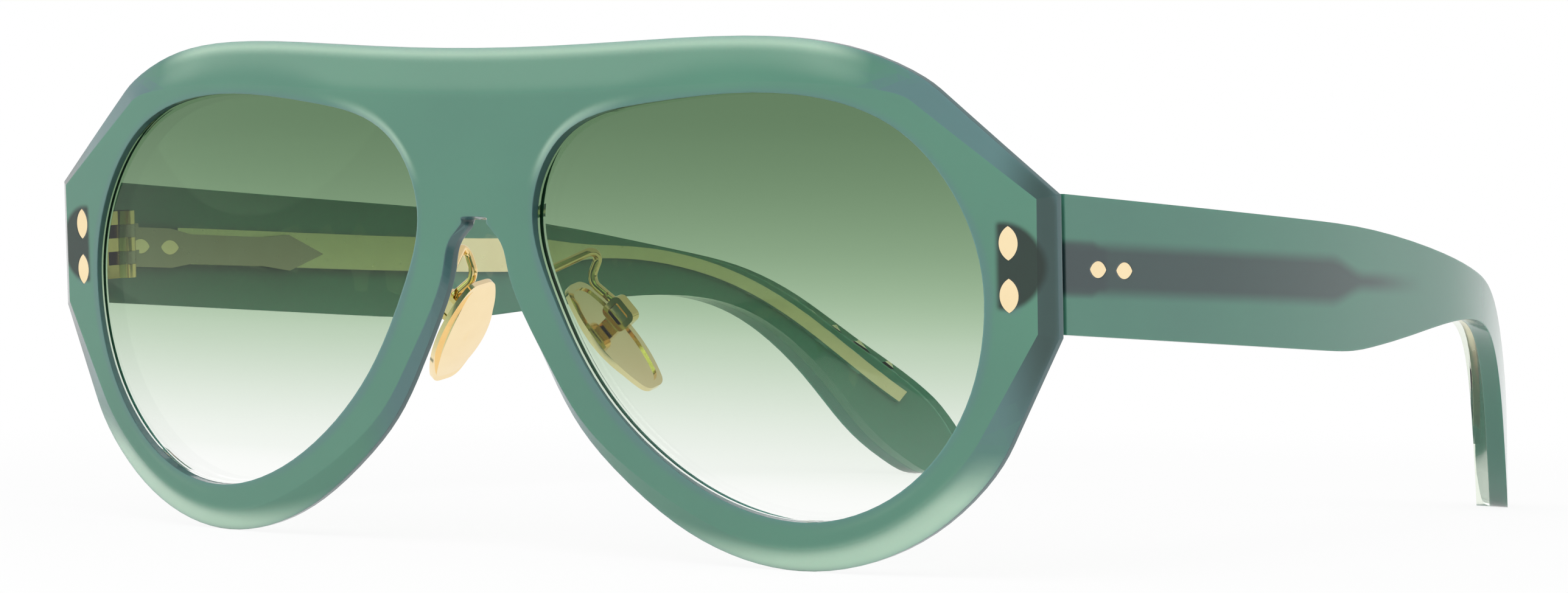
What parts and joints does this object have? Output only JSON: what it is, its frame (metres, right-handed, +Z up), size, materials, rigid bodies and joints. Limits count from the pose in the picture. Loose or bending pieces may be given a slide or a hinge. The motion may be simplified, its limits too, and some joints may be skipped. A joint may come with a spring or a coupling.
{
  "type": "aviator sunglasses",
  "caption": "Aviator sunglasses with a thick plastic front, gradient lenses, gilt nose pads on wire arms, and laminated temples that fold on barrel hinges.",
  "frame": {"origin": "on the table under the middle of the whole object's box, with the rims and the temple tips standing on the table", "axes": "-Y is the way the front faces, +X is the wearer's left, +Z is up"},
  "size_m": [0.1438, 0.1534, 0.0567],
  "materials": {
    "acetate": "milky sea-green cellulose acetate, polished",
    "clear_acetate": "clear green cellulose acetate, polished",
    "lens_glass": "green gradient tint, darkest at the brow, polished",
    "gilt_metal": "pale gold plating, polished"
  },
  "bodies": {
    "frame": {"front": "acetate", "lens_left": "lens_glass", "lens_right": "lens_glass", "hinge_front_left": "gilt_metal", "hinge_front_right": "gilt_metal", "hinge_screw_left": "gilt_metal", "hinge_screw_right": "gilt_metal", "rivet_upper_left": "gilt_metal", "rivet_upper_right": "gilt_metal", "rivet_lower_left": "gilt_metal", "rivet_lower_right": "gilt_metal", "pad_arm_left": "gilt_metal", "pad_arm_right": "gilt_metal", "pad_pin_left": "gilt_metal", "pad_pin_right": "gilt_metal"},
    "temple_left": {"temple_outer_left": "acetate", "temple_inner_left": "clear_acetate", "core_wire_left": "gilt_metal", "hinge_temple_left": "gilt_metal", "temple_pin_front_left": "gilt_metal", "temple_pin_rear_left": "gilt_metal"},
    "temple_right": {"temple_outer_right": "acetate", "temple_inner_right": "clear_acetate", "core_wire_right": "gilt_metal", "hinge_temple_right": "gilt_metal", "temple_pin_front_right": "gilt_metal", "temple_pin_rear_right": "gilt_metal"},
    "pad_left": {"nose_pad_left": "gilt_metal"},
    "pad_right": {"nose_pad_right": "gilt_metal"}
  },
  "joints": [
    {"name": "temple_fold_left", "type": "hinge", "parent": "frame", "child": "temple_left", "pos_m": [0.0654, -0.06364, 0.03279], "axis": [0, -0.0531, 0.9986], "range_deg": [0, 83]},
    {"name": "temple_fold_right", "type": "hinge", "parent": "frame", "child": "temple_right", "pos_m": [-0.0654, -0.06364, 0.03279], "axis": [0, 0.0531, -0.9986], "range_deg": [0, 75]},
    {"name": "pad_rock_left", "type": "hinge", "parent": "frame", "child": "pad_left", "pos_m": [0.01261, -0.06508, 0.02657], "axis": [0.6059, 0.2445, -0.757], "range_deg": [-8, 8]},
    {"name": "pad_rock_right", "type": "hinge", "parent": "frame", "child": "pad_right", "pos_m": [-0.01261, -0.06508, 0.02657], "axis": [-0.6059, 0.2445, -0.757], "range_deg": [-8, 8]}
  ]
}
